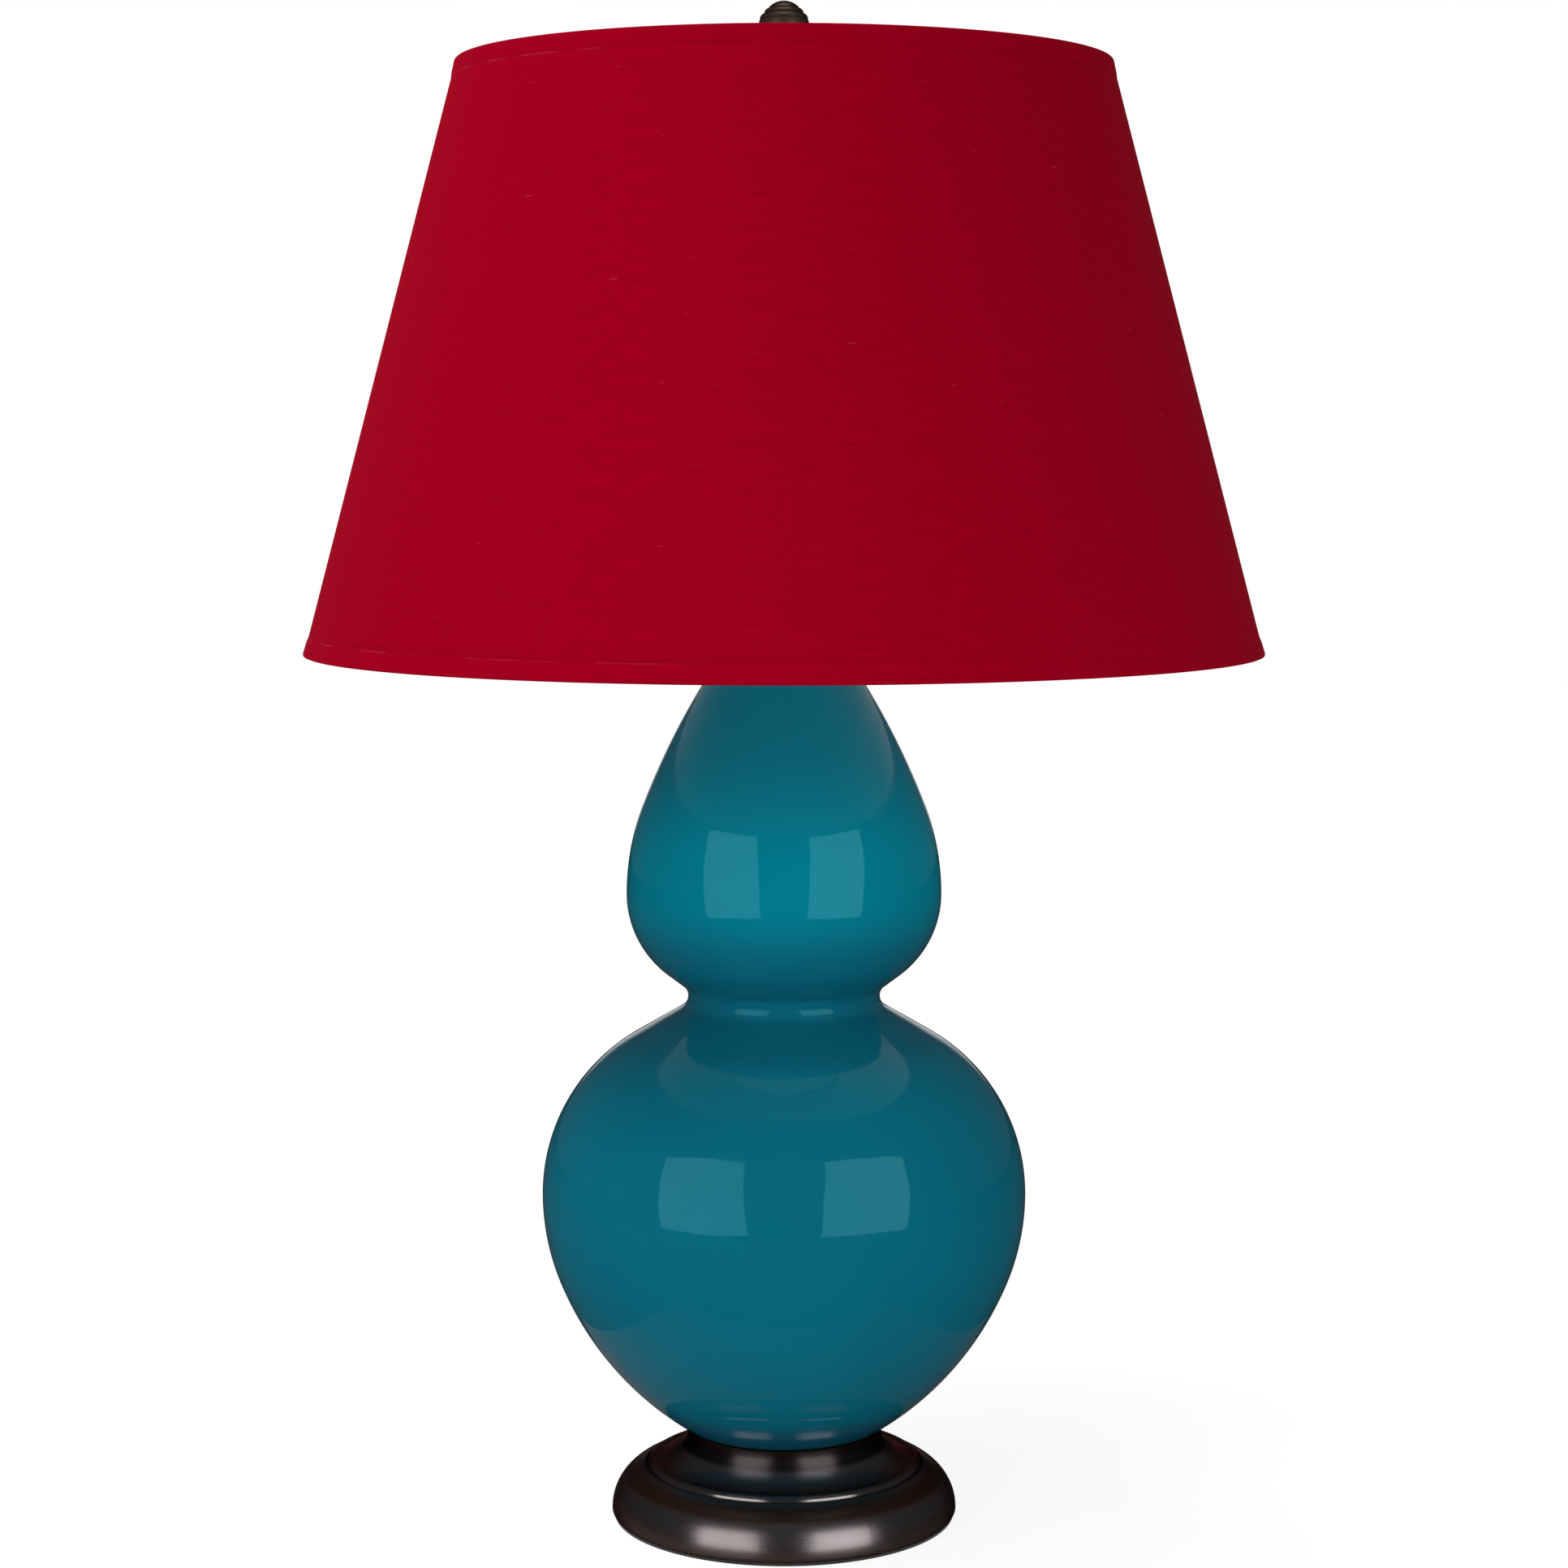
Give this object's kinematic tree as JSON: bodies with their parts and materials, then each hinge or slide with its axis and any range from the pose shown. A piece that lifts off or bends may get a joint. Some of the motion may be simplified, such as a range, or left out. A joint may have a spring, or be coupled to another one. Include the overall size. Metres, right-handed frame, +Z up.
{
  "type": "double gourd table lamp",
  "caption": "Table lamp with a glazed ceramic double-gourd body on a stepped metal base, turn-switch lamp holder, harp, and tapered drum-like fabric shade held by a finial.",
  "frame": {"origin": "centre of the felt pad's underside, where the lamp stands, on the lamp's axis", "axes": "+Z up along the lamp's axis; the front and the switch knob face -Y, the lead's bushing faces +Y, the harp's legs stand at +X and -X"},
  "size_m": [0.4825, 0.4826, 0.7702],
  "materials": {
    "glaze": "glossy teal glaze on stoneware, opaque",
    "bronze": "dark oil-rubbed bronze lacquer",
    "red_fabric": "plain woven red cloth",
    "liner": "off-white styrene sheet",
    "ring_steel": "plated steel wire and strip",
    "brass": "polished brass-plated steel",
    "zinc_steel": "zinc-plated steel",
    "iron": "rough cast iron",
    "felt": "black felt",
    "board": "brown fibreboard",
    "rubber": "matte",
    "phenolic": "moulded black phenolic",
    "fibre": "brown fibre paper",
    "black_plastic": "moulded black plastic",
    "aluminium": "bare spun aluminium",
    "frosted_glass": "frosted white glass"
  },
  "bodies": {
    "root": {"felt_pad": "felt", "bottom_cover": "board", "base_weight": "iron", "metal_base": "bronze", "cord_bushing": "black_plastic", "bottom_nut": "zinc_steel", "lock_washer": "zinc_steel", "bottom_washer": "zinc_steel", "foot_gasket": "rubber", "ceramic_body": "glaze", "lamp_pipe": "zinc_steel", "neck_gasket": "rubber", "vase_cap": "bronze", "neck_spacer": "bronze", "harp_saddle": "bronze", "saddle_nut": "brass", "harp_bow": "bronze", "socket_cap": "brass", "cap_set_screw": "brass", "socket_body": "phenolic", "terminal_screws": "brass", "centre_contact": "brass", "screw_shell": "aluminium", "socket_insulator": "fibre", "socket_shell": "brass"},
    "switch_knob": {"switch_stem": "brass", "turn_knob": "black_plastic"},
    "light_bulb": {"bulb_contact": "phenolic", "bulb_cap": "aluminium", "bulb_glass": "frosted_glass"},
    "ferrule_right": {"harp_ferrule_right": "bronze"},
    "ferrule_left": {"harp_ferrule_left": "bronze"},
    "shade": {"swivel_stud": "brass", "spider": "ring_steel", "top_ring": "ring_steel", "bottom_ring": "ring_steel", "shade_liner": "liner", "shade_fabric": "red_fabric", "top_trim": "red_fabric", "bottom_trim": "red_fabric"},
    "finial": {"finial": "bronze"}
  },
  "joints": [
    {"name": "switch_turn", "type": "hinge", "parent": "root", "child": "switch_knob", "pos_m": [0, -0.0225, 0.5102], "axis": [0, -1, 0], "continuous": true},
    {"name": "bulb_turn", "type": "hinge", "parent": "root", "child": "light_bulb", "pos_m": [0, 0, 0.5222], "axis": [0, 0, 1], "continuous": true},
    {"name": "ferrule_right_lift", "type": "slide", "parent": "root", "child": "ferrule_right", "axis": [0, 0, 1], "range_m": [0, 0.012]},
    {"name": "ferrule_left_lift", "type": "slide", "parent": "root", "child": "ferrule_left", "axis": [0, 0, 1], "range_m": [0, 0.012]},
    {"name": "shade_swivel", "type": "hinge", "parent": "root", "child": "shade", "pos_m": [0, 0, 0.7226], "axis": [0, 0, 1], "continuous": true},
    {"name": "finial_turn", "type": "hinge", "parent": "shade", "child": "finial", "pos_m": [0, 0, 0.7258], "axis": [0, 0, 1], "continuous": true}
  ]
}
